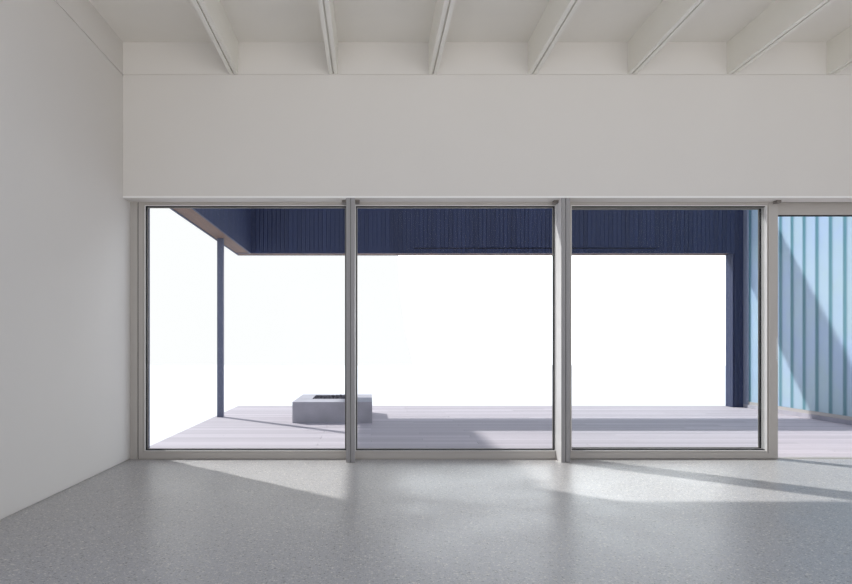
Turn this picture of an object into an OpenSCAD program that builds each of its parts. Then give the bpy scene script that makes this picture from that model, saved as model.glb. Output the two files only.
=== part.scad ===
// Sea-side glazed front of a beach house: the end of the living room with its sliding
// glass door, and the open porch frame, deck and channel-glass screen before it.
// X runs across the front, Y out towards the sea and Z up. The origin lies on the
// ground, midway between the side walls, under the room-side face of the front wall.

/* [Room] */
// Height of the finished floor above the ground
floor_h = 200; // [160:10:400]
// Width of the solid wall between the doorway and the right side wall
pier_w = 395; // [100:5:1200]
// Length of the room from the cut end to the front wall
room_l = 3390; // [2400:10:6000]
// Clear height from the floor to the ceiling
ceiling_h = 3810; // [3500:10:4600]
// Thickness of a side wall without its cladding
wall_t = 200; // [150:10:300]
// Thickness of the front wall without its cladding
front_wall_t = 360; // [340:10:450]
// Height of the dark joint where a side wall meets the floor
base_gap_h = 12; // [6:1:30]
// Depth of the shadow joints cut in the plaster
joint_d = 8; // [4:1:15]
// Height of the shadow joint that runs round the room level with the joists
reveal_h = 16; // [8:1:30]

/* [Roof] */
// Thickness of the roof deck
roof_t = 290; // [150:10:400]
// Width of a ceiling joist
joist_w = 80; // [60:2:120]
// Depth of a ceiling joist
joist_d = 290; // [200:10:400]
// Distance from one joist to the next
joist_pitch = 902; // [500:1:1200]
// Distance from the left wall to the middle of the first joist
joist_first = 1006; // [400:1:1300]
// Width of the slot along the underside of each joist
joist_slot_w = 14; // [8:1:30]
// Depth of the slot along the underside of each joist
joist_slot_d = 20; // [10:1:40]
// Height of the metal coping on the roof edge and on the porch frame
coping_h = 50; // [30:5:90]
// Width of the coping round the roof
coping_w = 170; // [100:10:300]
// How far a coping stands out past the boards below it
coping_lip = 5; // [2:1:15]

/* [Cladding] */
// Thickness of the vertical board cladding
cladding_t = 40; // [20:5:60]
// Height of the cladding's lower edge above the ground
cladding_foot = 50; // [20:10:150]
// How far the boards at the corners of the house reach in past the jambs
casing_lap = 45; // [0:5:60]

/* [Glazed front] */
// Height of the frame opening from the floor to the underside of the head
frame_h = 2450; // [2300:10:2700]
// Distance from one mullion to the next
bay_w = 1952; // [1200:1:2600]
// Width of the jamb members at the two ends
jamb_w = 75; // [50:1:120]
// Distance from the left jamb to the middle of the first mullion
first_bay_w = 1988; // [1200:1:2600]
// Width of a mullion
mullion_w = 80; // [60:2:100]
// Depth of a mullion in front of the window sashes
mullion_d = 190; // [150:5:200]
// Width of the groove down the face of a mullion
mullion_slot_w = 6; // [4:1:12]
// How far the header wall hangs down in front of the head frame
header_drop = 50; // [20:5:60]
// Height of the head frame
head_h = 70; // [50:5:100]
// Height of the sill track
sill_h = 60; // [40:5:80]
// How far the sill track runs out past the outer sash
sill_nose = 8; // [4:1:20]

/* [Sashes] */
// Thickness of a sash
sash_t = 60; // [58:1:62]
// Thickness of a sealed glass unit
glass_t = 28; // [20:1:30]
// Distance from the room-side face of a sash to its glass
glass_set = 26; // [16:1:26]
// Width of the sash member beside the left jamb
end_stile_w = 60; // [50:1:80]
// Width of the narrow sash members behind a mullion
thin_stile_w = 40; // [36:1:44]
// Height of the bottom rails
bottom_rail_h = 75; // [60:1:110]
// Height of the top rails
top_rail_h = 78; // [60:1:110]
// Width of the stepped bead round the glass
bead_w = 14; // [8:1:18]
// Depth of the stepped bead round the glass
bead_d = 8; // [4:1:12]
// How far the glass reaches into its groove
glass_bite = 14; // [10:1:18]
// Gap between the glass edge and the floor of its groove
glass_play = 3; // [1:1:5]
// Height of the notch that makes a dark line under the fixed sashes
toe_h = 8; // [5:1:12]

/* [Sliding leaf] */
// Length of the sliding leaf
leaf_w = 2030; // [1400:10:2600]
// Width of the leaf's two upright stiles
leaf_stile_w = 100; // [60:1:140]
// Gap between the leaf and what it slides past
leaf_gap = 5; // [5:1:6]
// Gap between the leaf and the fixed sash behind it
parking_gap = 7; // [6:1:8]
// Width of the running groove in the sill
track_w = 40; // [36:1:44]
// Depth of the running groove in the sill
track_d = 14; // [10:1:20]
// Width of the rail that the rollers run on
rail_w = 6; // [4:1:8]
// How far the rail stays below the floor
rail_drop = 2; // [1:1:4]
// Radius of a roller
roller_r = 14; // [12:1:18]
// Width of a roller
roller_w = 10; // [8:1:14]
// Radius of a roller's axle
axle_r = 3; // [2:0.5:4]
// Distance from a roller to the end of the leaf
roller_in = 260; // [150:10:500]
// Width of the guide fin along the top of the leaf
fin_w = 8; // [6:1:10]
// Height of the guide fin along the top of the leaf
fin_h = 16; // [12:1:22]
// Height of the finger pull above the floor
pull_z = 1030; // [800:10:1200]
// Length of the finger pull
pull_l = 220; // [150:10:300]
// Width of the finger pull's hollow
pull_w = 24; // [16:1:40]
// Thickness of the strip along the closing edge, which the finger pull is let into
strip_t = 16; // [12:1:24]
// Height of the rail across the head of the doorway
door_rail_h = 155; // [100:5:200]

/* [Porch frame] */
// Length of the porch from the house front to the outer face of the frame
porch_l = 5710; // [5000:10:7000]
// Clear height from the floor to the underside of the frame
beam_z = 2660; // [2550:10:2800]
// Width of the left beam
left_beam_w = 280; // [200:10:340]
// How far the left beam stands outside the inner face of the left wall
beam_out = 100; // [60:10:160]
// Thickness of the front beam
front_beam_t = 300; // [240:10:400]
// Width of the right leg
leg_w = 170; // [120:10:260]
// Side of the square steel post
post_w = 90; // [70:5:120]
// Radius of the steel post's corners
post_corner_r = 8; // [4:1:12]
// Distance from the left beam's outer face to the middle of the post
post_in = 100; // [90:5:120]
// Distance from the house front to the middle of the post
post_y = 3780; // [3200:10:4400]
// Width of the boards' edge left showing at each side of a soffit
soffit_margin = 25; // [15:1:40]
// Thickness of the soffit boards
soffit_t = 12; // [8:1:20]
// Depth of the shadow line between a soffit and the boards beside it
soffit_set = 6; // [3:1:10]
// Length of the light slot in the front beam
slot_l = 4200; // [3000:10:5000]
// Distance from the right leg to the end of the light slot
slot_end = 1330; // [1000:10:1800]
// Height of the light slot
slot_h = 20; // [14:1:40]
// Height of the light slot above the beam's lower edge
slot_z = 80; // [60:5:200]
// Depth of the light slot
slot_d = 30; // [20:1:60]

/* [Deck] */
// Thickness of the deck boards
board_t = 30; // [20:1:40]
// Step from the room floor down to the deck
deck_step = 5; // [2:1:20]
// How far the deck reaches past the front beam
deck_nose = 50; // [20:5:200]
// Clear gap round what passes through the deck
deck_gap = 5; // [3:1:8]
// Width of a deck joist
deck_joist_w = 45; // [35:1:60]
// Distance from one deck joist to the next
deck_joist_pitch = 600; // [400:10:700]

/* [Fire pit] */
// Width of the concrete block
pit_w = 1100; // [900:10:1200]
// Length of the concrete block
pit_l = 1550; // [1300:10:1700]
// Height of the block above the deck
pit_h = 290; // [200:10:450]
// Distance from the left beam's outer face to the block
pit_x = 1270; // [1000:10:1600]
// Distance from the house front to the block
pit_y = 2930; // [2600:10:3200]
// Width of the bowl
bowl_w = 550; // [400:10:700]
// Length of the bowl
bowl_l = 800; // [600:10:1000]
// Depth of the bowl
bowl_d = 200; // [120:10:260]
// Distance from the block's left side to the bowl
bowl_x = 220; // [120:10:300]
// Distance from the block's near side to the bowl
bowl_y = 580; // [300:10:620]
// Thickness of the gravel bed in the bowl
bed_t = 70; // [40:5:100]

/* [Channel-glass screen] */
// Face width of one glass channel
channel_w = 299; // [232:1:331]
// Depth of a channel's flanges
channel_d = 60; // [41:1:60]
// Thickness of the channel glass
channel_t = 7; // [6:1:8]
// Gap between two channels
channel_gap = 3; // [2:1:5]
// Number of glass channels
channel_count = 17; // [8:1:20]
// Width of the concrete curb
curb_w = 120; // [110:10:200]
// Height of the concrete curb above the deck
curb_rise = 60; // [20:10:120]
// Width of the rails that hold the glass
rail_channel_w = 80; // [70:1:100]
// Height of the rails that hold the glass
rail_channel_h = 50; // [30:5:80]
// Thickness of the rails' walls
rail_channel_t = 5; // [3:1:8]
// Length of the steel posts at the two ends along the screen
screen_post_l = 150; // [50:5:200]

/* [Hidden] */
$fn = 48;
// How far a cutting shape runs past the face that it cuts
cut = 1;

// Colours of the finishes
plaster = [0.80, 0.78, 0.75];
dark_board = [0.17, 0.17, 0.20];
soffit_board = [0.36, 0.30, 0.28];
aluminium = [0.60, 0.59, 0.57];
steel = [0.36, 0.40, 0.45];
concrete = [0.60, 0.60, 0.60];
clear_glass = [0.75, 0.85, 0.88, 0.35];
channel_glass = [0.70, 0.84, 0.86, 0.8];
weathered_wood = [0.66, 0.63, 0.62];
gravel = [0.16, 0.15, 0.15];
lamp_cover = [0.12, 0.12, 0.13];

// Levels above the ground
ceiling_z = floor_h + ceiling_h;
roof_top_z = ceiling_z + roof_t;
coping_top_z = roof_top_z + coping_h;
joist_z = ceiling_z - joist_d;
frame_top_z = floor_h + frame_h;
header_z = frame_top_z - header_drop;
head_top_z = frame_top_z + head_h;
beam_bottom_z = floor_h + beam_z;
deck_top_z = floor_h - deck_step;
deck_frame_z = deck_top_z - board_t;

// Clearances that a person who fits the door would set
leaf_lift = leaf_gap + 1;
roller_seat = 0.3;
roller_room = 2;
axle_play = 0.05;
closing_gap = 2 * leaf_gap;

// The glazing and the room in width
leaf_travel = leaf_w - leaf_stile_w;
glazing_w = jamb_w + first_bay_w + bay_w + leaf_gap + leaf_w + leaf_travel + closing_gap + jamb_w;
room_w = glazing_w + pier_w;
joist_count = round((room_w - 2 * joist_first) / joist_pitch) + 1;

// The walls in plan
half_room = room_w / 2;
half_house = half_room + wall_t;
clad_x = half_house + cladding_t;
house_front_y = front_wall_t + cladding_t;

// The glazing in plan, from the left jamb to the right jamb
frame_y = mullion_d;
sash_x = -half_room + jamb_w;
left_mullion_x = sash_x + first_bay_w;
middle_mullion_x = left_mullion_x + bay_w;
leaf_x = middle_mullion_x + leaf_gap;
door_x = leaf_x + leaf_w;
right_jamb_x = door_x + leaf_travel + closing_gap;
pier_x = right_jamb_x + jamb_w;
leaf_y = frame_y + leaf_gap;
outer_y = leaf_y + sash_t + parking_gap;
sill_w = outer_y + sash_t + sill_nose - frame_y;
sill_end_y = frame_y + sill_w;
casing_x = sash_x + casing_lap;
right_casing_x = right_jamb_x - casing_lap;
track_y = leaf_y + sash_t / 2;

// The sliding leaf in height
leaf_bottom_z = floor_h + leaf_lift;
leaf_top_z = frame_top_z - leaf_lift;
leaf_h = leaf_top_z - leaf_bottom_z;
roller_z = floor_h - rail_drop + roller_seat + roller_r;
pull_wall = 3;

// The porch in plan
porch_front_y = house_front_y + porch_l;
beam_back_y = porch_front_y - front_beam_t;
left_beam_x = -half_room - beam_out;
left_beam_end_x = left_beam_x + left_beam_w;
leg_x = clad_x - leg_w;
post_mid_x = left_beam_x + post_in;
post_mid_y = house_front_y + post_y;
soffit_gap = 6;
soffit_z = beam_bottom_z + soffit_set;
deck_y = house_front_y + deck_gap;
deck_end_y = porch_front_y + deck_nose;
pit_left_x = left_beam_x + pit_x;
pit_near_y = house_front_y + pit_y;

// The screen, which stands against the outer face of the right leg
screen_x = clad_x;
screen_mid_x = screen_x + curb_w / 2;
screen_rail_y = deck_y + screen_post_l;
channel_pitch = channel_w + channel_gap;
screen_rail_l = channel_count * channel_pitch + channel_gap;
screen_end_y = screen_rail_y + screen_rail_l + screen_post_l;
curb_top_z = deck_top_z + curb_rise;

// A box from its lowest corner to its highest corner
module block(low, high) {
    translate(low) cube(high - low);
}

// A section in Y and Z, carried along X from x0 to x1
module along_x(x0, x1) {
    translate([x0, 0, 0]) rotate([90, 0, 90]) linear_extrude(x1 - x0) children();
}

// A section in X and Z, carried along Y from y0 to y1
module along_y(y0, y1) {
    translate([0, y1, 0]) rotate([90, 0, 0]) linear_extrude(y1 - y0) children();
}

// The floor slab, let down along the glazing for the sill track and the first deck board
module floor_slab() {
    color(concrete) difference() {
        block([-half_house, -room_l, 0], [half_house, front_wall_t, floor_h]);
        block([-half_room, frame_y, floor_h - sill_h], [pier_x, front_wall_t + cut, floor_h + cut]);
    }
}

// Section of a side wall, its inner face on X = 0 with the shadow joints cut in it
module side_wall_section() {
    difference() {
        translate([0, floor_h]) square([wall_t, ceiling_h]);
        translate([-cut, floor_h - cut]) square([joint_d + cut, base_gap_h + cut]);
        translate([-cut, joist_z - reveal_h]) square([joint_d + cut, reveal_h]);
    }
}

module left_wall() {
    color(plaster) along_y(-room_l, front_wall_t)
        translate([-half_room, 0]) mirror([1, 0]) side_wall_section();
}

module right_wall() {
    color(plaster) along_y(-room_l, front_wall_t)
        translate([half_room, 0]) side_wall_section();
}

// The wall over the glazing: its lower lip hangs in front of the head frame
module header_wall() {
    color(plaster) along_x(-half_room, half_room) difference() {
        translate([0, header_z]) square([front_wall_t, ceiling_z - header_z]);
        translate([frame_y, header_z - cut]) square([front_wall_t, head_top_z - header_z + cut]);
        translate([-cut, joist_z - reveal_h]) square([joint_d + cut, reveal_h]);
    }
}

// The solid wall between the doorway and the right side wall
module right_pier() {
    color(plaster) along_x(pier_x, half_room) difference() {
        translate([0, floor_h]) square([front_wall_t, head_top_z - floor_h]);
        translate([-cut, header_z]) square([frame_y + cut, head_top_z]);
        translate([-cut, floor_h - cut]) square([joint_d + cut, base_gap_h + cut]);
    }
}

// The boards on a side wall, from x0 to x1
module side_cladding(x0, x1) {
    color(dark_board) block([x0, -room_l, cladding_foot], [x1, front_wall_t, roof_top_z]);
}

// The boards on the front wall between two places and two levels
module front_boards(x0, x1, z0, z1) {
    color(dark_board) block([x0, front_wall_t, z0], [x1, house_front_y, z1]);
}

module left_cladding() {
    side_cladding(-clad_x, -half_house);
}

module right_cladding() {
    side_cladding(half_house, clad_x);
}

module front_cladding() {
    front_boards(-clad_x, clad_x, frame_top_z, roof_top_z);
}

// The boards at the two corners of the house, which lap a little over the sashes
module corner_cladding() {
    front_boards(-clad_x, casing_x, cladding_foot, frame_top_z);
    front_boards(right_casing_x, clad_x, cladding_foot, frame_top_z);
}

module roof_deck() {
    color(plaster)
        block([-half_house, -room_l, ceiling_z], [half_house, front_wall_t, roof_top_z]);
}

// Section of a joist, with the slot along its underside
module joist_section() {
    difference() {
        translate([-joist_w / 2, joist_z]) square([joist_w, joist_d]);
        translate([-joist_slot_w / 2, joist_z - cut])
            square([joist_slot_w, joist_slot_d + cut]);
    }
}

module roof_joists() {
    color(plaster) for (i = [0 : joist_count - 1])
        translate([-half_room + joist_first + i * joist_pitch, 0, 0])
            along_y(-room_l, 0) joist_section();
}

// The coping round the three built edges of the roof
module roof_coping() {
    out_x = clad_x + coping_lip;
    out_y = house_front_y + coping_lip;
    color(aluminium) difference() {
        block([-out_x, -room_l, roof_top_z], [out_x, out_y, coping_top_z]);
        block([-out_x + coping_w, -room_l - cut, roof_top_z - cut],
            [out_x - coping_w, out_y - coping_w, coping_top_z + cut]);
    }
}

// Section of the sill: a running groove with its rail, and a drain slot outside it
module sill_section() {
    drain_w = 14;
    drain_d = 8;
    difference() {
        translate([frame_y, floor_h - sill_h]) square([sill_w, sill_h]);
        difference() {
            translate([track_y - track_w / 2, floor_h - track_d]) square([track_w, track_d + cut]);
            translate([track_y - rail_w / 2, floor_h - track_d - cut])
                square([rail_w, track_d + cut - rail_drop]);
        }
        translate([outer_y + sash_t / 2 - drain_w / 2, floor_h - drain_d])
            square([drain_w, drain_d + cut]);
    }
}

module sill_track() {
    color(aluminium) along_x(-half_room, pier_x) sill_section();
}

// Section of the head: a guide groove for the fin of the sliding leaf
module head_section() {
    guide_w = fin_w + 2 * leaf_lift;
    difference() {
        translate([frame_y, frame_top_z]) square([front_wall_t - frame_y, head_h]);
        translate([track_y - guide_w / 2, frame_top_z - cut]) square([guide_w, fin_h + cut]);
    }
}

module head_frame() {
    color(aluminium) along_x(-half_room, pier_x) head_section();
}

// A jamb in plan: a flat bar on the wall at X = 0, stepped back where the sash begins
module jamb() {
    step = 6;
    color(aluminium) translate([0, 0, floor_h]) linear_extrude(frame_h) difference() {
        translate([0, frame_y]) square([jamb_w, front_wall_t - frame_y]);
        translate([jamb_w - step, frame_y - cut]) square([step + cut, step + cut]);
    }
}

module left_jamb() {
    translate([-half_room, 0, 0]) jamb();
}

module right_jamb() {
    translate([pier_x, 0, 0]) mirror([1, 0, 0]) jamb();
}

// A mullion in plan: a deep bar with eased front corners and a groove down its face
module mullion() {
    ease = 2;
    half_w = mullion_w / 2;
    color(aluminium) translate([0, 0, floor_h]) linear_extrude(header_z - floor_h) difference() {
        polygon([[-half_w, ease], [ease - half_w, 0], [half_w - ease, 0], [half_w, ease],
            [half_w, mullion_d], [-half_w, mullion_d]]);
        translate([-mullion_slot_w / 2, -cut]) square([mullion_slot_w, mullion_slot_w + cut]);
    }
}

module mullions() {
    for (x = [left_mullion_x, middle_mullion_x]) translate([x, 0, 0]) mullion();
}

// The post that joins the inner row of sashes to the outer one, clear of the leaf
module coupling_post() {
    color(aluminium) block([middle_mullion_x - thin_stile_w, frame_y + sash_t, floor_h],
        [middle_mullion_x, outer_y + sash_t, frame_top_z]);
}

// The rail across the head of the doorway, level with the outer sash
module door_head_rail() {
    color(aluminium) block([door_x, outer_y, frame_top_z - door_rail_h],
        [right_jamb_x, outer_y + sash_t, frame_top_z]);
}

// A sash on its lower left corner. sides is [left stile, right stile, bottom rail, top rail].
// Its inner edge has a stepped bead on the room side, and a groove all round for the glass.
module sash(w, h, sides) {
    module opening(grow, y0, y1) {
        block([sides[0] - grow, y0, sides[2] - grow],
            [w - sides[1] + grow, y1, h - sides[3] + grow]);
    }
    difference() {
        cube([w, sash_t, h]);
        opening(0, -cut, sash_t + cut);
        opening(bead_w, -cut, bead_d);
        opening(glass_bite, glass_set, glass_set + glass_t);
    }
}

// The sealed unit that fits such a sash
module sealed_unit(w, h, sides) {
    hold = glass_bite - glass_play;
    color(clear_glass) block([sides[0] - hold, glass_set, sides[2] - hold],
        [w - sides[1] + hold, glass_set + glass_t, h - sides[3] + hold]);
}

// The fixed sashes: places, lengths and the widths of their members
fixed_at = [[sash_x, frame_y, floor_h], [left_mullion_x, frame_y, floor_h],
    [middle_mullion_x, outer_y, floor_h]];
fixed_w = [first_bay_w, bay_w, door_x - middle_mullion_x];
fixed_sides = [[end_stile_w, thin_stile_w, bottom_rail_h, top_rail_h],
    [thin_stile_w, thin_stile_w, bottom_rail_h, top_rail_h],
    [leaf_stile_w, leaf_stile_w, bottom_rail_h, top_rail_h]];

// A fixed sash, with the notch at its foot that reads as a dark line
module fixed_sash(i) {
    color(aluminium) translate(fixed_at[i]) difference() {
        sash(fixed_w[i], frame_h, fixed_sides[i]);
        block([-cut, -cut, -cut], [fixed_w[i] + cut, toe_h, toe_h]);
    }
}

module fixed_glass(i) {
    translate(fixed_at[i]) sealed_unit(fixed_w[i], frame_h, fixed_sides[i]);
}

// The sliding leaf, drawn where it stands open in front of the outer fixed sash
leaf_at = [leaf_x, leaf_y, leaf_bottom_z];
leaf_sides = [leaf_stile_w, leaf_stile_w, bottom_rail_h - leaf_lift, top_rail_h - leaf_lift];
roller_x = [roller_in, leaf_w - roller_in];
roller_up = roller_z - leaf_bottom_z;
axle_l = sash_t - 20;

// The leaf's frame: a sash without its closing strip, with a guide fin and two roller pockets
module leaf_frame() {
    pocket_r = roller_r + roller_room;
    pocket_w = roller_w + 2 * roller_room;
    color(aluminium) translate(leaf_at) {
        difference() {
            sash(leaf_w - strip_t, leaf_h, leaf_sides - [0, strip_t, 0, 0]);
            for (x = roller_x) {
                block([x - pocket_r, (sash_t - pocket_w) / 2, -cut],
                    [x + pocket_r, (sash_t + pocket_w) / 2, roller_up + pocket_r]);
                translate([x, (sash_t + axle_l) / 2, roller_up]) rotate([90, 0, 0])
                    cylinder(r = axle_r + axle_play, h = axle_l);
            }
        }
        block([0, (sash_t - fin_w) / 2, leaf_h],
            [leaf_w - strip_t, (sash_t + fin_w) / 2, leaf_h + fin_h]);
    }
}

// The two lengths of the closing strip, below and above the finger pull
pull_low = pull_z - leaf_lift - pull_l / 2;
pull_high = pull_low + pull_l;
module leaf_edge() {
    color(aluminium) translate(leaf_at) {
        block([leaf_w - strip_t, 0, 0], [leaf_w, sash_t, pull_low]);
        block([leaf_w - strip_t, 0, pull_high], [leaf_w, sash_t, leaf_h]);
    }
}

module leaf_glass() {
    translate(leaf_at) sealed_unit(leaf_w, leaf_h, leaf_sides);
}

// The two rollers with their axles
module leaf_rollers() {
    color(steel) translate(leaf_at) for (x = roller_x)
        translate([x, sash_t / 2, roller_up]) rotate([90, 0, 0]) {
            cylinder(r = roller_r, h = roller_w, center = true);
            cylinder(r = axle_r, h = axle_l, center = true);
        }
}

// The finger pull: a block with a hollow, let in between the two lengths of the strip
module leaf_pull() {
    color(steel) translate(leaf_at + [leaf_w - strip_t, 0, 0]) difference() {
        block([0, 0, pull_low], [strip_t, sash_t, pull_high]);
        block([pull_wall, (sash_t - pull_w) / 2, pull_low + pull_wall],
            [strip_t + cut, (sash_t + pull_w) / 2, pull_high - pull_wall]);
    }
}

// What passes through the deck, between two levels: the fire pit, which the boards are
// fitted to, and the post and the leg with a clear gap round them
module deck_holes(z0, z1) {
    post_half = post_w / 2 + deck_gap;
    block([pit_left_x, pit_near_y, z0], [pit_left_x + pit_w, pit_near_y + pit_l, z1]);
    block([post_mid_x - post_half, post_mid_y - post_half, z0],
        [post_mid_x + post_half, post_mid_y + post_half, z1]);
    block([leg_x - deck_gap, beam_back_y - deck_gap, z0],
        [clad_x + deck_gap, porch_front_y + deck_gap, z1]);
}

// The sleepers on the ground: two rims, the joists between them and a ledger at the sill
module deck_frame() {
    inner_w = screen_x - left_beam_x - deck_joist_w;
    gaps = ceil(inner_w / deck_joist_pitch);
    color(weathered_wood) difference() {
        union() {
            block([left_beam_x, deck_y, 0], [screen_x, deck_y + deck_joist_w, deck_frame_z]);
            block([left_beam_x, deck_end_y - deck_joist_w, 0],
                [screen_x, deck_end_y, deck_frame_z]);
            for (i = [0 : gaps])
                translate([left_beam_x + i * inner_w / gaps, deck_y, 0])
                    cube([deck_joist_w, deck_end_y - deck_y, deck_frame_z]);
        }
        deck_holes(-cut, deck_frame_z + cut);
    }
    color(weathered_wood)
        block([sash_x + deck_gap, sill_end_y + deck_gap, floor_h - sill_h],
            [right_jamb_x - deck_gap, front_wall_t, deck_frame_z]);
}

// The boarded deck, which reaches in under the door as far as the sill
module deck_boards() {
    color(weathered_wood) difference() {
        union() {
            block([left_beam_x, deck_y, deck_frame_z], [screen_x, deck_end_y, deck_top_z]);
            block([casing_x + deck_gap, sill_end_y + deck_gap, deck_frame_z],
                [right_casing_x - deck_gap, deck_y + cut, deck_top_z]);
        }
        deck_holes(deck_frame_z - cut, deck_top_z + cut);
    }
}

// Places of the recesses that the soffit boards fill: [lowest corner, highest corner] in plan
left_soffit_at = [[left_beam_x + soffit_margin, house_front_y + soffit_margin],
    [left_beam_end_x - soffit_margin, beam_back_y - soffit_margin]];
front_soffit_at = [[left_beam_x + soffit_margin, beam_back_y + soffit_margin],
    [leg_x - soffit_margin, porch_front_y - soffit_margin]];

// A recess in the underside of a beam
module soffit_recess(at) {
    block([at[0].x, at[0].y, beam_bottom_z - cut], [at[1].x, at[1].y, soffit_z + soffit_t]);
}

// The board that fills it, a little narrower all round
module soffit_fill(at) {
    block([at[0].x + soffit_gap, at[0].y + soffit_gap, soffit_z],
        [at[1].x - soffit_gap, at[1].y - soffit_gap, soffit_z + soffit_t]);
}

module left_beam() {
    color(dark_board) difference() {
        block([left_beam_x, house_front_y, beam_bottom_z],
            [left_beam_end_x, beam_back_y, roof_top_z]);
        soffit_recess(left_soffit_at);
    }
}

// The place of the light slot: from x0 to x1 and from z0 up
slot_x1 = leg_x - slot_end;
slot_x0 = slot_x1 - slot_l;
slot_z0 = beam_bottom_z + slot_z;

module front_beam() {
    color(dark_board) difference() {
        block([left_beam_x, beam_back_y, beam_bottom_z], [clad_x, porch_front_y, roof_top_z]);
        soffit_recess(front_soffit_at);
        block([slot_x0, beam_back_y - cut, slot_z0],
            [slot_x1, beam_back_y + slot_d, slot_z0 + slot_h]);
    }
}

// The lamp at the back of the light slot
module light_strip() {
    play = 2;
    strip_d = 12;
    color(lamp_cover) block([slot_x0 + play, beam_back_y + slot_d - strip_d, slot_z0],
        [slot_x1 - play, beam_back_y + slot_d, slot_z0 + slot_h - play]);
}

module right_leg() {
    color(dark_board)
        block([leg_x, beam_back_y, 0], [clad_x, porch_front_y, beam_bottom_z]);
}

// The square steel post, with rounded corners, from the ground up to the soffit
module porch_post() {
    side = post_w - 2 * post_corner_r;
    color(steel) translate([post_mid_x, post_mid_y, 0]) linear_extrude(soffit_z) {
        square([post_w, side], center = true);
        square([side, post_w], center = true);
        for (x = [-side / 2, side / 2], y = [-side / 2, side / 2])
            translate([x, y]) circle(r = post_corner_r);
    }
}

module beam_soffits() {
    color(soffit_board) {
        soffit_fill(left_soffit_at);
        soffit_fill(front_soffit_at);
    }
}

// The coping along the two beams, up to the coping of the roof
module beam_coping() {
    color(aluminium) {
        block([left_beam_x - coping_lip, house_front_y + coping_lip, roof_top_z],
            [left_beam_end_x + coping_lip, beam_back_y, coping_top_z]);
        block([left_beam_x - coping_lip, beam_back_y - coping_lip, roof_top_z],
            [clad_x + coping_lip, porch_front_y + coping_lip, coping_top_z]);
    }
}

// The concrete block of the fire pit, which stands on the ground
module fire_pit() {
    pit_top_z = deck_top_z + pit_h;
    color(concrete) translate([pit_left_x, pit_near_y, 0]) difference() {
        cube([pit_w, pit_l, pit_top_z]);
        translate([bowl_x, bowl_y, pit_top_z - bowl_d]) cube([bowl_w, bowl_l, bowl_d + cut]);
    }
}

module fire_bed() {
    color(gravel) translate([pit_left_x + bowl_x, pit_near_y + bowl_y, deck_top_z + pit_h - bowl_d])
        cube([bowl_w, bowl_l, bed_t]);
}

module screen_curb() {
    color(concrete)
        block([screen_x, deck_y, 0], [screen_x + curb_w, screen_end_y, curb_top_z]);
}

// Section of a rail: a channel open upwards, standing on Z = 0 round X = 0
module rail_section() {
    difference() {
        translate([-rail_channel_w / 2, 0]) square([rail_channel_w, rail_channel_h]);
        translate([rail_channel_t - rail_channel_w / 2, rail_channel_t])
            square([rail_channel_w - 2 * rail_channel_t, rail_channel_h]);
    }
}

// The rail on the curb and the one along the top
module screen_rails() {
    color(aluminium) along_y(screen_rail_y, screen_rail_y + screen_rail_l) {
        translate([screen_mid_x, curb_top_z]) rail_section();
        translate([screen_mid_x, roof_top_z]) mirror([0, 1]) rail_section();
    }
}

// One glass channel in plan: its flat web faces the deck, its flanges point away
module glass_channel(h) {
    linear_extrude(h) difference() {
        square([channel_d, channel_w]);
        translate([channel_t, channel_t]) square([channel_d, channel_w - 2 * channel_t]);
    }
}

// The row of glass channels, standing in the lower rail and held by the upper one
module screen_glass() {
    foot_z = curb_top_z + rail_channel_t;
    head_play = 10;
    color(channel_glass) for (i = [0 : channel_count - 1])
        translate([screen_mid_x - channel_d / 2,
            screen_rail_y + channel_gap + i * channel_pitch, foot_z])
            glass_channel(roof_top_z - rail_channel_t - head_play - foot_z);
}

// The posts at its two ends, as wide as the rails and out to the face of the leg
module screen_posts() {
    color(steel) for (y = [deck_y, screen_end_y - screen_post_l])
        block([screen_x, y, curb_top_z],
            [screen_mid_x + rail_channel_w / 2, y + screen_post_l, roof_top_z]);
}

floor_slab();
left_wall();
right_wall();
header_wall();
right_pier();
left_cladding();
right_cladding();
front_cladding();
corner_cladding();
roof_deck();
roof_joists();
roof_coping();
sill_track();
head_frame();
left_jamb();
right_jamb();
mullions();
coupling_post();
door_head_rail();
fixed_sash(0);  // fixed_sash_1
fixed_sash(1);  // fixed_sash_2
fixed_sash(2);  // fixed_sash_3
fixed_glass(0);  // fixed_glass_1
fixed_glass(1);  // fixed_glass_2
fixed_glass(2);  // fixed_glass_3
leaf_frame();
leaf_edge();
leaf_glass();
leaf_rollers();
leaf_pull();
deck_frame();
deck_boards();
left_beam();
front_beam();
right_leg();
porch_post();
beam_soffits();
light_strip();
beam_coping();
fire_pit();
fire_bed();
screen_curb();
screen_rails();
screen_glass();
screen_posts();
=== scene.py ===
# %% [markdown]
# # The glazed front of a beach house, dressed over its CAD frame
# The CAD model gives every wall, sash, beam and slab in its true place. This lesson adds what a
# camera sees on them: boards, seals, panes, stones and finishes. All lengths are metres, in the
# frame of the CAD model: X runs across the front, Y goes out to the deck and Z is up.

import math

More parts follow.
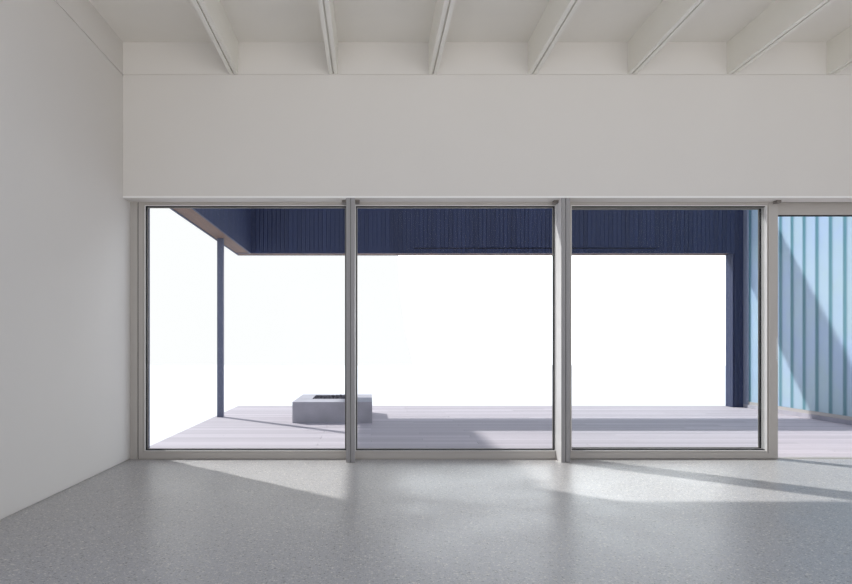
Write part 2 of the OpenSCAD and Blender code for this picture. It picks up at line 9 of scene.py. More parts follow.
import bpy
import numpy as np
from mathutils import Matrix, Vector


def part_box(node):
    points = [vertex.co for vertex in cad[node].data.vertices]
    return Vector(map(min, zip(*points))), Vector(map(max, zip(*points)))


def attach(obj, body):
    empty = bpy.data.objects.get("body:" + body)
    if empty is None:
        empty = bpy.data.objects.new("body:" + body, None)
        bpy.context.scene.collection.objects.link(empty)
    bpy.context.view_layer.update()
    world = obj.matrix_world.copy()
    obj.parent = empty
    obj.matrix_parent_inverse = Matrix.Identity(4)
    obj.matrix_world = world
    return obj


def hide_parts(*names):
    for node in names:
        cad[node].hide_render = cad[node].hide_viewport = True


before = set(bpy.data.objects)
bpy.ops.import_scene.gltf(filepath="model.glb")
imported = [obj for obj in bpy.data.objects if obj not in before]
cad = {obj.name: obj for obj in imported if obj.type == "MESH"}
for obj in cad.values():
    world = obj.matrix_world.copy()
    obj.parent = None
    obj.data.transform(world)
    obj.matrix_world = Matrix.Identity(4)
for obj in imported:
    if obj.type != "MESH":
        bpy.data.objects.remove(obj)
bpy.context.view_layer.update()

# %% [markdown]
# ## The camera
# The camera stands in the room and looks straight out. Its back is parallel to the glazing, so the
# joists, beams and deck share one vanishing point. That point lies left of and below the middle of
# the picture. A lens shift moves it there without tilting the camera, which keeps every upright
# vertical. The lens follows from the focal length counted in pixels.

# %% Camera
IMAGE_SIZE = (852, 584)
VANISHING_POINT = (370, 346)
FOCAL_PIXELS = 705
SENSOR_MM = 36
EYE = (-1.99, -6.39, 1.257)

camera_data = bpy.data.cameras.new("camera")
camera_data.sensor_width = SENSOR_MM
camera_data.lens = FOCAL_PIXELS / IMAGE_SIZE[0] * SENSOR_MM
camera_data.shift_x = (IMAGE_SIZE[0] / 2 - VANISHING_POINT[0]) / IMAGE_SIZE[0]
camera_data.shift_y = (VANISHING_POINT[1] - IMAGE_SIZE[1] / 2) / IMAGE_SIZE[0]
camera = bpy.data.objects.new("camera", camera_data)
camera.location = EYE
camera.rotation_euler = (math.pi / 2, 0, 0)
bpy.context.scene.collection.objects.link(camera)
bpy.context.scene.camera = camera
print("lens:", round(camera_data.lens, 2), "mm")

# %% [markdown]
# ## Light
# A high sun before the front draws the shadows of the porch frame over the deck and lets a strip of
# light in on the floor. A Sun lamp is used because its rays are parallel, as a Point lamp's aren't,
# and its angle softens the edges of the shadows a little.

# %% Sun
SUN_DIRECTION = (1.0, -1.0, -1.23)
SUN_STRENGTH = 3.75
SUN_SIZE_DEGREES = 1.5


def look_along(direction):
    """Rotation that points an object's -Z axis along a direction."""
    return Vector(direction).to_track_quat("-Z", "Y").to_euler()


def place_lamp(name, kind, energy, direction, place=(0, 0, 0), colour=(1, 1, 1)):
    """A lamp that shines along a direction, in the scene."""
    data = bpy.data.lights.new(name, kind)
    data.energy = energy
    data.color = colour
    lamp = bpy.data.objects.new(name, data)
    lamp.location = place
    lamp.rotation_euler = look_along(direction)
    bpy.context.scene.collection.objects.link(lamp)
    print(name, "of strength", energy)
    return lamp


sun = place_lamp("sun", "SUN", SUN_STRENGTH, SUN_DIRECTION)
sun.data.angle = math.radians(SUN_SIZE_DEGREES)

# %% [markdown]
# Two wide soft lamps lift the shade. One is a low glow before the front, which reaches the side
# walls through the glass. The other stands behind the camera, because the room is lit from its open
# end too. Neither shows in a reflection, so no bright patch lies on the panes.

# %% Soft lamps
FRONT_GLOW_DIRECTION = (-1.0, -1.3, -0.2)
FRONT_GLOW_STRENGTH = 1.9
FRONT_GLOW_SIZE_DEGREES = 70
FRONT_GLOW_COLOUR = (0.90, 0.95, 1.0)
ROOM_FILL_WATTS = 180
ROOM_FILL_COLOUR = (1.0, 0.90, 0.77)
ROOM_FILL_SIZE = (8.0, 3.0)
ROOM_FILL_PLACE = (0.0, -9.5, 1.6)
ROOM_FILL_DIRECTION = (0.0, 1.0, 0.8)

front_glow = place_lamp("front_glow", "SUN", FRONT_GLOW_STRENGTH, FRONT_GLOW_DIRECTION,
                        colour=FRONT_GLOW_COLOUR)
front_glow.data.angle = math.radians(FRONT_GLOW_SIZE_DEGREES)
room_fill = place_lamp("room_fill", "AREA", ROOM_FILL_WATTS, ROOM_FILL_DIRECTION, ROOM_FILL_PLACE,
                       ROOM_FILL_COLOUR)
room_fill.data.shape = "RECTANGLE"
room_fill.data.size, room_fill.data.size_y = ROOM_FILL_SIZE
for lamp in (front_glow, room_fill):
    lamp.visible_glossy = False
    lamp.visible_camera = False

# %% [markdown]
# ## Boxes
# Nearly everything here is sawn, cast or extruded, so one helper makes any number of boxes at
# once from two arrays of corners. Blender's own cubes would need a loop and an object for each
# board, and arrays need neither.

# %% Boxes
UNIT_CORNERS = np.array([[0, 0, 0], [1, 0, 0], [1, 1, 0], [0, 1, 0],
                         [0, 0, 1], [1, 0, 1], [1, 1, 1], [0, 1, 1]], float)
UNIT_SIDES = np.array([[0, 3, 2, 1], [4, 5, 6, 7], [0, 1, 5, 4],
                       [1, 2, 6, 5], [2, 3, 7, 6], [3, 0, 4, 7]])


def boxes(corners):
    """Boxes from rows of (x0, y0, z0, x1, y1, z1): point = low + unit corner * (high - low)."""
    corners = np.asarray(corners, float).reshape(-1, 6)
    low, high = corners[:, None, :3], corners[:, None, 3:]
    points = low + UNIT_CORNERS[None] * (high - low)
    faces = UNIT_SIDES[None] + 8 * np.arange(len(corners))[:, None, None]
    return points.reshape(-1, 3), faces.reshape(-1, 4)


print("a box:", len(UNIT_CORNERS), "corners,", len(UNIT_SIDES), "sides")

# %% [markdown]
# ## Pieces
# The next helper turns points and faces into a finished piece. It attaches the piece to the body
# that it rides on and hides the CAD nodes that it stands for. A thin bevel takes the sharpness off
# the edges, as on real boards. Each box also gets a random tone between 0 and 1, kept in the mesh
# as an attribute, so that one material can colour every board a little differently.

# %% Pieces
def piece(name, points, faces, material, slot, body="house", stands_for=(), bevel=0.0, tones=None):
    """A finished piece: its mesh, its material, an optional bevel, and what it rides on."""
    mesh = bpy.data.meshes.new(name)
    mesh.from_pydata(points.tolist(), [], faces if isinstance(faces, list) else faces.tolist())
    if tones is not None:
        attribute = mesh.attributes.new("tone", "FLOAT", "POINT")
        attribute.data.foreach_set("value", tones.astype(np.float32))
    mesh.materials.append(material)
    mesh.update()
    made = bpy.data.objects.new(name, mesh)
    bpy.context.scene.collection.objects.link(made)
    if bevel:
        edge = made.modifiers.new("eased edges", "BEVEL")
        edge.width = bevel
        edge.segments = 1
        edge.limit_method = "ANGLE"
    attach(made, body)
    if stands_for:
        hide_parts(*stands_for)
    print(name, len(points), "points")
    return made


def box_piece(name, corners, material, slot, seed=1, **rest):
    """Boxes as one piece, with one random tone for each box."""
    points, faces = boxes(corners)
    tones = np.repeat(np.random.default_rng(seed).random(len(points) // 8), 8)
    return piece(name, points, faces, material, slot, tones=tones, **rest)


# %% [markdown]
# ## Rows of boards
# A wall of boards is a length cut into equal widths with a narrow gap between them. The helper
# returns the two edges of each board; a second one keeps only what lies between two limits, so
# that boards beside and above the glazing stay on the same lines.

# %% Board rows
THINNEST_BOARD = 0.012


def row(start, end, pitch, gap):
    """Edges of boards from start to end: board i covers start + i * w + gap / 2 to the next."""
    count = max(1, round((end - start) / pitch))
    width = (end - start) / count
    first = start + width * np.arange(count)
    return np.stack([first + gap / 2, first + width - gap / 2], axis=1)


def clipped(edges, low, high):
    """The parts of boards between two limits, without slivers."""
    cut = np.stack([np.maximum(edges[:, 0], low), np.minimum(edges[:, 1], high)], axis=1)
    return cut[cut[:, 1] - cut[:, 0] > THINNEST_BOARD]


def across_x(edges, y0, y1, z0, z1):
    """Boxes for boards that follow one another along X."""
    rest = np.ones(len(edges))
    return np.stack([edges[:, 0], y0 * rest, z0 * rest, edges[:, 1], y1 * rest, z1 * rest], axis=1)


def across_y(edges, x0, x1, z0, z1):
    """Boxes for boards that follow one another along Y."""
    rest = np.ones(len(edges))
    return np.stack([x0 * rest, edges[:, 0], z0 * rest, x1 * rest, edges[:, 1], z1 * rest], axis=1)


# %% [markdown]
# ## Shader helpers
# A material is a small tree of nodes. The nodes could be wired by hand in the editor, but a script
# can be read and repeated. The first helper turns a colour that is seen on a screen into the
# renderer's values, and the second adds a node and fills or links its inputs.

# %% Colours and nodes
def linear(red, green, blue):
    """A colour given as it looks on a screen, 0 to 255, turned into the renderer's values."""
    screen = np.array([red, green, blue]) / 255
    return tuple(np.where(screen <= 0.04045, screen / 12.92, ((screen + 0.055) / 1.055) ** 2.4))


def add(tree, kind, inputs=(), **properties):
    """Adds a shader node; an input takes a value, or the socket that it is linked to."""
    made = tree.nodes.new("ShaderNode" + kind)
    for key, value in properties.items():
        setattr(made, key, value)
    for key, value in dict(inputs).items():
        if isinstance(value, bpy.types.NodeSocket):
            tree.links.new(value, made.inputs[key])
        else:
            made.inputs[key].default_value = value
    return made


print("mid grey:", round(float(linear(128, 128, 128)[0]), 3))

# %% [markdown]
# Four more helpers do what nearly every finish needs: a sum, a change of range, a blend of two
# colours and a shade of one.

# %% Values and blends
def math_node(tree, operation, first, second=0.0):
    """A Math node's result for two values or sockets."""
    return add(tree, "Math", {0: first, 1: second}, operation=operation).outputs[0]


def mapped(tree, value, low, high, to_low, to_high):
    """A value carried from one range to another, without going past its ends."""
    return add(tree, "MapRange", {"Value": value, "From Min": low, "From Max": high,
                                  "To Min": to_low, "To Max": to_high}).outputs["Result"]


def mixed(tree, factor, first, second):
    """A colour between two colours or sockets."""
    first = first if isinstance(first, bpy.types.NodeSocket) else (*first, 1)
    second = second if isinstance(second, bpy.types.NodeSocket) else (*second, 1)
    return add(tree, "Mix", {0: factor, 6: first, 7: second}, data_type="RGBA").outputs[2]


def shaded(tree, colour, shade):
    """A colour made lighter or darker by a value around 1."""
    return add(tree, "VectorMath", {0: colour, "Scale": shade}, operation="SCALE").outputs[0]


# %% [markdown]
# ## World
# The world is one plain value that fills what the lamps leave dark. The camera, mirrors and glass
# see it as white. The Light Path node tells their rays from those that light a surface, so the
# background is white with no more light on the object.

# %% World
WORLD_FILL = (0.43, 0.50, 0.65)
WORLD_SEEN = (1, 1, 1)
world = bpy.data.worlds.new("world_light")
bpy.context.scene.world = world
world.use_nodes = True
surround = world.node_tree
surround.nodes.clear()
rays = add(surround, "LightPath")
seen = math_node(surround, "MAXIMUM", rays.outputs["Is Camera Ray"], rays.outputs["Is Glossy Ray"])
seen = math_node(surround, "MAXIMUM", seen, rays.outputs["Is Transmission Ray"])
background = add(surround, "Background", {"Color": mixed(surround, seen, WORLD_FILL, WORLD_SEEN)})
add(surround, "OutputWorld", {"Surface": background.outputs[0]})
bpy.context.scene.view_settings.view_transform = "Standard"
print("world fill:", WORLD_FILL, "seen as", WORLD_SEEN)

# %% [markdown]
# ## Shared groups
# Effects that several finishes use are node groups: grain of sawn wood, slow mottling, and
# chips in a ground floor. A group only puts out values, and the shader stays in the material.

# %% Group helpers
def new_group(name, inputs, outputs):
    """A shader node group with float or vector sockets, and its two end nodes."""
    tree = bpy.data.node_groups.new(name, "ShaderNodeTree")
    for title, kind in inputs:
        tree.interface.new_socket(title, in_out="INPUT", socket_type="NodeSocket" + kind)
    for title, kind in outputs:
        tree.interface.new_socket(title, in_out="OUTPUT", socket_type="NodeSocket" + kind)
    print("group:", name)
    return tree, tree.nodes.new("NodeGroupInput"), tree.nodes.new("NodeGroupOutput")


def use_group(tree, group, **inputs):
    """Places a group in a material and fills its inputs."""
    return add(tree, "Group", inputs, node_tree=group)


# %% [markdown]
# Grain is noise squeezed across the board and stretched along it. The board's own tone shifts the
# noise, so that no two boards show the same grain, and also makes the board lighter or darker.

# %% Group: wood grain
GRAIN_SHIFT = 37.0  # How far the noise moves between the darkest and the lightest board
wood_grain, gi, go = new_group(
    "wood_grain", [("Stretch", "Vector"), ("Tone", "Float"), ("Contrast", "Float")],
    [("Shade", "Float"), ("Height", "Float")])
place = add(wood_grain, "TexCoord").outputs["Object"]
stretched = add(wood_grain, "VectorMath", {0: place, 1: gi.outputs["Stretch"]},
                operation="MULTIPLY")
shift = math_node(wood_grain, "MULTIPLY", gi.outputs["Tone"], GRAIN_SHIFT)
fine = add(wood_grain, "TexNoise", {"Vector": stretched.outputs[0], "W": shift, "Scale": 1.0,
                                    "Detail": 5.0, "Roughness": 0.65}, noise_dimensions="4D")
slow = add(wood_grain, "TexNoise", {"Vector": stretched.outputs[0], "W": shift, "Scale": 0.12,
                                    "Detail": 2.0}, noise_dimensions="4D")
both = math_node(wood_grain, "ADD", fine.outputs["Fac"], slow.outputs["Fac"])
centred = math_node(wood_grain, "SUBTRACT", both, 1.0)
with_tone = math_node(wood_grain, "ADD", centred,
                      math_node(wood_grain, "SUBTRACT", gi.outputs["Tone"], 0.5))
swing = math_node(wood_grain, "MULTIPLY", with_tone, gi.outputs["Contrast"])
wood_grain.links.new(math_node(wood_grain, "ADD", swing, 1.0), go.inputs["Shade"])
wood_grain.links.new(fine.outputs["Fac"], go.inputs["Height"])

# %% [markdown]
# Mottling is slow noise with finer noise on it, for plaster, concrete and metal, which are never
# quite even.

# %% Group: mottling
mottling, gi, go = new_group(
    "mottling", [("Size", "Float"), ("Contrast", "Float")],
    [("Shade", "Float"), ("Height", "Float")])
place = add(mottling, "TexCoord").outputs["Object"]
often = math_node(mottling, "DIVIDE", 1.0, gi.outputs["Size"])
cloud = add(mottling, "TexNoise", {"Vector": place, "Scale": often, "Detail": 6.0,
                                   "Roughness": 0.55})
centred = math_node(mottling, "SUBTRACT", cloud.outputs["Fac"], 0.5)
swing = math_node(mottling, "MULTIPLY", centred, gi.outputs["Contrast"])
mottling.links.new(math_node(mottling, "ADD", swing, 1.0), go.inputs["Shade"])
mottling.links.new(cloud.outputs["Fac"], go.inputs["Height"])

# %% [markdown]
# Chips are the cells of a Voronoi pattern: near a cell's centre lies a stone, and its random
# colour says how light that stone is.

# %% Group: stone chips
stone_chips, gi, go = new_group(
    "stone_chips", [("Size", "Float"), ("Fill", "Float")], [("Mask", "Float"), ("Tone", "Float")])
place = add(stone_chips, "TexCoord").outputs["Object"]
often = math_node(stone_chips, "DIVIDE", 1.0, gi.outputs["Size"])
cells = add(stone_chips, "TexVoronoi", {"Vector": place, "Scale": often, "Randomness": 1.0})
chance = add(stone_chips, "SeparateColor", {"Color": cells.outputs["Color"]})
inside = math_node(stone_chips, "LESS_THAN", cells.outputs["Distance"],
                   math_node(stone_chips, "MULTIPLY", gi.outputs["Fill"], chance.outputs["Green"]))
stone_chips.links.new(inside, go.inputs["Mask"])
stone_chips.links.new(chance.outputs["Red"], go.inputs["Tone"])

# %% [markdown]
# ## Materials
# Every finish starts from one Principled shader. Colours are written as they look on a screen in
# full light. The first helper makes the material and gives back its tree and its shader. The others
# fill its colour and its roughness from a pattern, and add relief, which catches the light with no
# more points in the mesh.

# %% Material starter
def new_material(name, **constants):
    """A material with one Principled shader, its constants set on the shader's own sockets."""
    material = bpy.data.materials.new(name)
    material.use_nodes = True
    tree = material.node_tree
    shader = tree.nodes["Principled BSDF"]
    for key, value in constants.items():
        shader.inputs[key.replace("_", " ")].default_value = value
    print("material:", name)
    return material, tree, shader


def give_colour(tree, shader, colour, shade):
    """The base colour: a colour times the shade that a pattern gives."""
    tree.links.new(shaded(tree, colour, shade), shader.inputs["Base Color"])


def give_roughness(tree, shader, height, span, smooth, rough):
    """Roughness from smooth to rough, while the height crosses its span."""
    tree.links.new(mapped(tree, height, *span, smooth, rough), shader.inputs["Roughness"])


def give_bump(tree, shader, height, distance):
    """Relief from a height between 0 and 1, as deep as distance."""
    bump = add(tree, "Bump", {"Height": height, "Distance": distance, "Strength": 1.0})
    tree.links.new(bump.outputs["Normal"], shader.inputs["Normal"])


# %% [markdown]
# ## Two recipes
# Boards take their colour from the grain and from their own tone. Plaster, paint, concrete and
# metal are moved by mottling. In both, the roughness follows the pattern of the colour, because a
# darker patch of a real surface also shines differently.

# %% Boards, and what is cast or painted
BOARD_GLOSS_SWING = 0.1
CAST_GLOSS_SWING = 0.06
CLOUD = (0.3, 0.7)  # The heights that mottling mostly keeps between
GRIT_PER_METRE = 260.0


def board_material(name, colour, stretch, contrast, relief, roughness):
    """Boards: the colour moved by grain and by each board's own tone."""
    material, tree, shader = new_material(name)
    tone = add(tree, "Attribute", attribute_name="tone").outputs["Fac"]
    grain = use_group(tree, wood_grain, Stretch=stretch, Tone=tone, Contrast=contrast)
    give_colour(tree, shader, colour, grain.outputs["Shade"])
    give_roughness(tree, shader, grain.outputs["Height"], (0.0, 1.0), roughness - BOARD_GLOSS_SWING,
                   roughness + BOARD_GLOSS_SWING)
    give_bump(tree, shader, grain.outputs["Height"], relief)
    return material


def cast_material(name, colour, size, contrast, relief, roughness, **constants):
    """Plaster, paint, concrete or metal: the colour moved by mottling."""
    material, tree, shader = new_material(name, **constants)
    cloud = use_group(tree, mottling, Size=size, Contrast=contrast)
    give_colour(tree, shader, colour, cloud.outputs["Shade"])
    give_roughness(tree, shader, cloud.outputs["Height"], CLOUD, roughness - CAST_GLOSS_SWING,
                   roughness + CAST_GLOSS_SWING)
    if relief:
        grit = add(tree, "TexNoise", {"Vector": add(tree, "TexCoord").outputs["Object"],
                                      "Scale": GRIT_PER_METRE, "Detail": 3.0})
        give_bump(tree, shader, grit.outputs["Fac"], relief)
    return material


# %% [markdown]
# Stained cladding is dark, and its strong blue is partly painted blue shade of the sky. Deck boards
# have gone silver grey. The boards under the beams are a warm brown. Each line gives the colour,
# the grain's direction, its contrast, its relief in metres, and the roughness.

# %% Wood finishes
ALONG_X = (2.0, 70.0, 70.0)
ALONG_Y = (70.0, 2.0, 70.0)
ALONG_Z = (70.0, 70.0, 2.0)
dark_stain = board_material("dark_stain", linear(46, 55, 86), ALONG_Z, 0.3, 0.0003, 0.6)
silver_deck = board_material("silver_deck", linear(192, 183, 187), ALONG_X, 0.22, 0.0006, 0.75)
sleeper_wood = board_material("sleeper_wood", linear(150, 140, 128), ALONG_Y, 0.3, 0.001, 0.8)
brown_soffit = board_material("brown_soffit", linear(138, 104, 86), ALONG_Y, 0.9, 0.0006, 0.7)

# %% [markdown]
# Paint on plaster and timber has the faint orange-peel of a roller. Concrete shows slow clouds, and
# metal hardly any. Each line gives the colour, the size of the clouds, their contrast, the relief
# and the roughness.

# %% Plaster, paint and concrete
wall_paint = cast_material("wall_paint", linear(224, 220, 214), 0.9, 0.05, 0.00012, 0.85)
joist_paint = cast_material("joist_paint", linear(238, 235, 226), 0.5, 0.04, 0.00008, 0.6)
pit_concrete = cast_material("pit_concrete", linear(178, 175, 181), 0.3, 0.6, 0.0004, 0.8)
post_paint = cast_material("post_paint", linear(98, 102, 122), 0.5, 0.05, 0.00005, 0.45)
coping_metal = cast_material("coping_metal", linear(112, 114, 120), 0.3, 0.12, 0.00005, 0.4,
                             Metallic=0.6)
frame_metal = cast_material("frame_metal", linear(188, 183, 177), 0.15, 0.06, 0.00003, 0.45,
                            Metallic=0.15)
steel_finish = cast_material("steel_finish", linear(190, 190, 190), 0.05, 0.1, 0.00003, 0.3,
                             Metallic=1.0)
end_post_paint = cast_material("end_post_paint", linear(134, 140, 158), 0.5, 0.05, 0.00005, 0.45)
lamp_lens = cast_material("lamp_lens", linear(9, 11, 26), 0.1, 0.1, 0.0, 0.5)
bead_paint = cast_material("bead_paint", linear(246, 245, 242), 0.1, 0.03, 0.0, 0.4)
bracket_metal = cast_material("bracket_metal", linear(120, 114, 108), 0.05, 0.1, 0.0, 0.5)
seal_rubber = cast_material("seal_rubber", linear(22, 22, 26), 0.02, 0.2, 0.00005, 0.55)
# Pale metal paints highlights: the lit edges of the glazing beads and the leaf's sunlit stile sides
highlight_pale_metal = cast_material("highlight_pale_metal", linear(238, 235, 231), 0.05, 0.05, 0.00003, 0.4)
joint_rubber = cast_material("joint_rubber", linear(84, 128, 134), 0.05, 0.1, 0.0, 0.45)

# %% [markdown]
# The floor is ground concrete: grey paste with small light and dark stones, polished enough to
# hold a soft reflection.

# %% Ground floor
CHIP_SIZE = 0.011
GRIT_SIZE = 0.004
POLISHED = (0.3, 0.42)
ground_floor, tree, shader = new_material("ground_floor", Specular_IOR_Level=0.4)
cloud = use_group(tree, mottling, Size=0.6, Contrast=0.18)
chips = use_group(tree, stone_chips, Size=CHIP_SIZE, Fill=0.62)
grit = use_group(tree, stone_chips, Size=GRIT_SIZE, Fill=0.7)
stone = mixed(tree, chips.outputs["Tone"], linear(112, 109, 104), linear(222, 216, 206))
small_stone = mixed(tree, grit.outputs["Tone"], linear(132, 131, 132), linear(208, 204, 198))
paste = mixed(tree, grit.outputs["Mask"], linear(172, 169, 169), small_stone)
ground = mixed(tree, chips.outputs["Mask"], paste, stone)
give_colour(tree, shader, ground, cloud.outputs["Shade"])
give_roughness(tree, shader, cloud.outputs["Height"], CLOUD, *POLISHED)

# %% [markdown]
# Stones in the fire bowl are rough black lava, and the bed under them is the same in finer grit.

# %% Lava
PORES_PER_METRE = 160.0
PORE_DEPTH = 0.004
lava, tree, shader = new_material("lava", Roughness=0.9)
cloud = use_group(tree, mottling, Size=0.03, Contrast=1.2)
pores = add(tree, "TexVoronoi", {"Vector": add(tree, "TexCoord").outputs["Object"],
                                 "Scale": PORES_PER_METRE})
give_colour(tree, shader, linear(58, 55, 66), cloud.outputs["Shade"])
give_bump(tree, shader, pores.outputs["Distance"], PORE_DEPTH)

# %% [markdown]
# ## Glass
# A clear pane lets light rays through unbent, so that the sun still reaches the floor behind it.
# The Light Path node does that: rays that carry light to a surface meet a transparent shader and
# all others meet the real glass. A sealed unit has four faces, and a mirror image on each would lay
# a grey veil over the dark boards behind it. So the index is low, and the glass has no roughness.

# %% Clear glass
PASSING_TINT = (0.985, 0.988, 0.988, 1)


def let_light_through(tree, shader):
    """Shadow and diffuse rays pass a transparent shader instead of the glass."""
    rays = add(tree, "LightPath")
    passing = math_node(tree, "MAXIMUM", rays.outputs["Is Shadow Ray"],
                        rays.outputs["Is Diffuse Ray"])
    clear = add(tree, "BsdfTransparent", {"Color": PASSING_TINT})
    mix = add(tree, "MixShader", {0: passing, 1: shader.outputs["BSDF"], 2: clear.outputs[0]})
    tree.links.new(mix.outputs[0], tree.nodes["Material Output"].inputs["Surface"])


clear_glass, tree, shader = new_material("clear_glass", Transmission_Weight=1.0, IOR=1.05,
                                         Roughness=0.0)
haze = use_group(tree, mottling, Size=0.8, Contrast=0.008)
give_colour(tree, shader, linear(254, 255, 255), haze.outputs["Shade"])
let_light_through(tree, shader)

# %% [markdown]
# Channel glass is rolled and only half clear. The two flanges at a joint show through the face as a
# soft band of darker teal, a little nearer the house than the joint itself. The face knows where
# they are, because the channels follow one another at a fixed step along the screen, and only
# flanges reach further back than the face is thick. Between the bands the face drifts slowly
# between a greenish and a bluish white.

# %% Channel glass
TOUCH = 0.001  # Two places closer than this count as one
screen_low, screen_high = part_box("screen_glass")
FACE_THICKNESS = 0.007
CHANNEL_GAP = 0.003
CHANNEL_PITCH = 0.302
BAND_HALF = 0.016
BAND_SOFT = 0.046
BAND_SHIFT = 0.03
BAND_STRENGTH = 0.85
DRIFT = (0.4, 0.6)
ROLLED = (0.3, 0.38)
channel_glass, tree, shader = new_material("channel_glass", Transmission_Weight=0.3, IOR=1.3)
place = add(tree, "SeparateXYZ", {0: add(tree, "TexCoord").outputs["Object"]})
behind = math_node(tree, "GREATER_THAN", place.outputs["X"], screen_low.x + FACE_THICKNESS + TOUCH)
along = math_node(tree, "SUBTRACT", place.outputs["Y"], screen_low.y - CHANNEL_GAP / 2 - BAND_SHIFT)
to_joint = math_node(tree, "PINGPONG", along, CHANNEL_PITCH / 2)
in_band = mapped(tree, to_joint, BAND_HALF, BAND_HALF + BAND_SOFT, BAND_STRENGTH, 0.0)
teal = math_node(tree, "MAXIMUM", behind, in_band)
cloud = use_group(tree, mottling, Size=0.25, Contrast=0.06)
drift = use_group(tree, mottling, Size=0.9, Contrast=1.0)
green_or_blue = mapped(tree, drift.outputs["Height"], *DRIFT, 0.0, 1.0)
face_colour = mixed(tree, green_or_blue, linear(177, 200, 209), linear(175, 196, 218))
glass_colour = mixed(tree, teal, face_colour, linear(92, 148, 158))
give_colour(tree, shader, glass_colour, cloud.outputs["Shade"])
give_roughness(tree, shader, cloud.outputs["Height"], CLOUD, *ROLLED)
let_light_through(tree, shader)

# %% [markdown]
# ## Dress the CAD nodes
# Nodes whose shape is already right only need their finish.

# %% CAD finishes
FINISH_OF = {
    ground_floor: ["floor_slab"],
    wall_paint: ["left_wall", "right_wall", "header_wall", "right_pier"],
    joist_paint: ["roof_joists"],
    coping_metal: ["roof_coping", "beam_coping"],
    frame_metal: ["sill_track", "head_frame", "left_jamb", "right_jamb", "coupling_post",
                  "door_head_rail", "fixed_sash_1", "fixed_sash_2", "fixed_sash_3", "leaf_frame",
                  "leaf_edge", "screen_rails"],
    steel_finish: ["leaf_rollers", "leaf_pull"],
    sleeper_wood: ["deck_frame"],
    brown_soffit: ["beam_soffits"],
    post_paint: ["porch_post"],
    end_post_paint: ["screen_posts"],
    lamp_lens: ["light_strip"],
    pit_concrete: ["fire_pit", "screen_curb"],
    lava: ["fire_bed"],
    channel_glass: ["screen_glass"],
}
for finish, names in FINISH_OF.items():
    for name in names:
        cad[name].material_slots[0].material = finish
print("finished nodes:", sum(len(names) for names in FINISH_OF.values()))

# %% [markdown]
# The roof is white paint below and a grey membrane above, so one material looks at the height.

# %% Roof
roof_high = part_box("roof_deck")[1]
roof_skin, tree, shader = new_material("roof_skin", Roughness=0.85)
place = add(tree, "SeparateXYZ", {0: add(tree, "TexCoord").outputs["Object"]})
on_top = math_node(tree, "GREATER_THAN", place.outputs["Z"], roof_high.z - TOUCH)
cloud = use_group(tree, mottling, Size=0.8, Contrast=0.1)
skin = mixed(tree, on_top, linear(236, 232, 224), linear(186, 186, 184))
give_colour(tree, shader, skin, cloud.outputs["Shade"])
cad["roof_deck"].material_slots[0].material = roof_skin

# %% [markdown]
# A mullion's front and groove are darker, as painted shade from the room, and its sides paler, as
# painted sunlight, so its material looks at the depth behind the face.

# %% Mullions
SHADED_FRONT_DEPTH = 0.007
ANODISED = (0.3, 0.42)
mullion_low, mullion_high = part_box("mullions")
mullion_sun_and_shade, tree, shader = new_material("mullion_sun_and_shade")
place = add(tree, "SeparateXYZ", {0: add(tree, "TexCoord").outputs["Object"]})
painted_sun_sides = math_node(tree, "GREATER_THAN", place.outputs["Y"], mullion_low.y + SHADED_FRONT_DEPTH)
cloud = use_group(tree, mottling, Size=0.15, Contrast=0.06)
# Painted shade on the front and in the groove, painted sunlight on the sides
skin = mixed(tree, painted_sun_sides, linear(152, 150, 150), linear(226, 222, 218))
give_colour(tree, shader, skin, cloud.outputs["Shade"])
give_roughness(tree, shader, cloud.outputs["Height"], CLOUD, *ANODISED)
cad["mullions"].material_slots[0].material = mullion_sun_and_shade

# %% [markdown]
# ## Boards on the house
# The walls outside carry narrow upright boards with open joints over a dark backing. A bump in the
# material could draw the joints, but the ends of the boards would stay one straight line. So each
# board is a box of its own.

# %% Boards of the side walls
BOARD_PITCH = 0.073
BOARD_GAP = 0.004
BOARD_DEPTH = 0.022
BOARD_BEVEL = 0.0015


def side_boards(node):
    """Backing and boards in place of the cladding on a side wall."""
    low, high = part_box(node)
    outer = high.x if high.x > 0 else low.x
    inner = low.x if high.x > 0 else high.x
    face = outer - math.copysign(BOARD_DEPTH, outer)
    edges = row(low.y, high.y, BOARD_PITCH, BOARD_GAP)
    boards = across_y(edges, min(face, outer), max(face, outer), low.z, high.z)
    backing = [[min(inner, face), low.y, low.z, max(inner, face), high.y, high.z]]
    box_piece(node + "_boards", np.concatenate([backing, boards]), dark_stain, "dark_boards",
              stands_for=(node,), bevel=BOARD_BEVEL, seed=3)


side_boards("left_cladding")
side_boards("right_cladding")

# %% [markdown]
# The boards over the glazing and those at the corners share one set of lines, so that a joint runs
# on from one to the other. The CAD node of the corners is two strips, and its own points tell where
# they end.

# %% Boards of the front and corners
front_low, front_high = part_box("front_cladding")
front_edges = row(front_low.x, front_high.x, BOARD_PITCH, BOARD_GAP)
front_face_y = front_high.y - BOARD_DEPTH
front_boards = across_x(front_edges, front_face_y, front_high.y, front_low.z, front_high.z)
front_backing = [[front_low.x, front_low.y, front_low.z, front_high.x, front_face_y, front_high.z]]
box_piece("front_boards", np.concatenate([front_backing, front_boards]), dark_stain, "dark_boards",
          stands_for=("front_cladding",), bevel=BOARD_BEVEL, seed=5)

corner_low, corner_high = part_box("corner_cladding")
corner_points = np.array([v.co for v in cad["corner_cladding"].data.vertices])
left_inner = corner_points[corner_points[:, 0] < 0, 0].max()
right_inner = corner_points[corner_points[:, 0] > 0, 0].min()
corner_boxes = []
for x0, x1 in ((corner_low.x, left_inner), (right_inner, corner_high.x)):
    corner_boxes.append([[x0, corner_low.y, corner_low.z, x1, front_face_y, corner_high.z]])
    corner_boxes.append(across_x(clipped(front_edges, x0, x1), front_face_y, corner_high.y,
                                 corner_low.z, corner_high.z))
box_piece("corner_boards", np.concatenate(corner_boxes), dark_stain, "dark_boards",
          stands_for=("corner_cladding",), bevel=BOARD_BEVEL, seed=5)

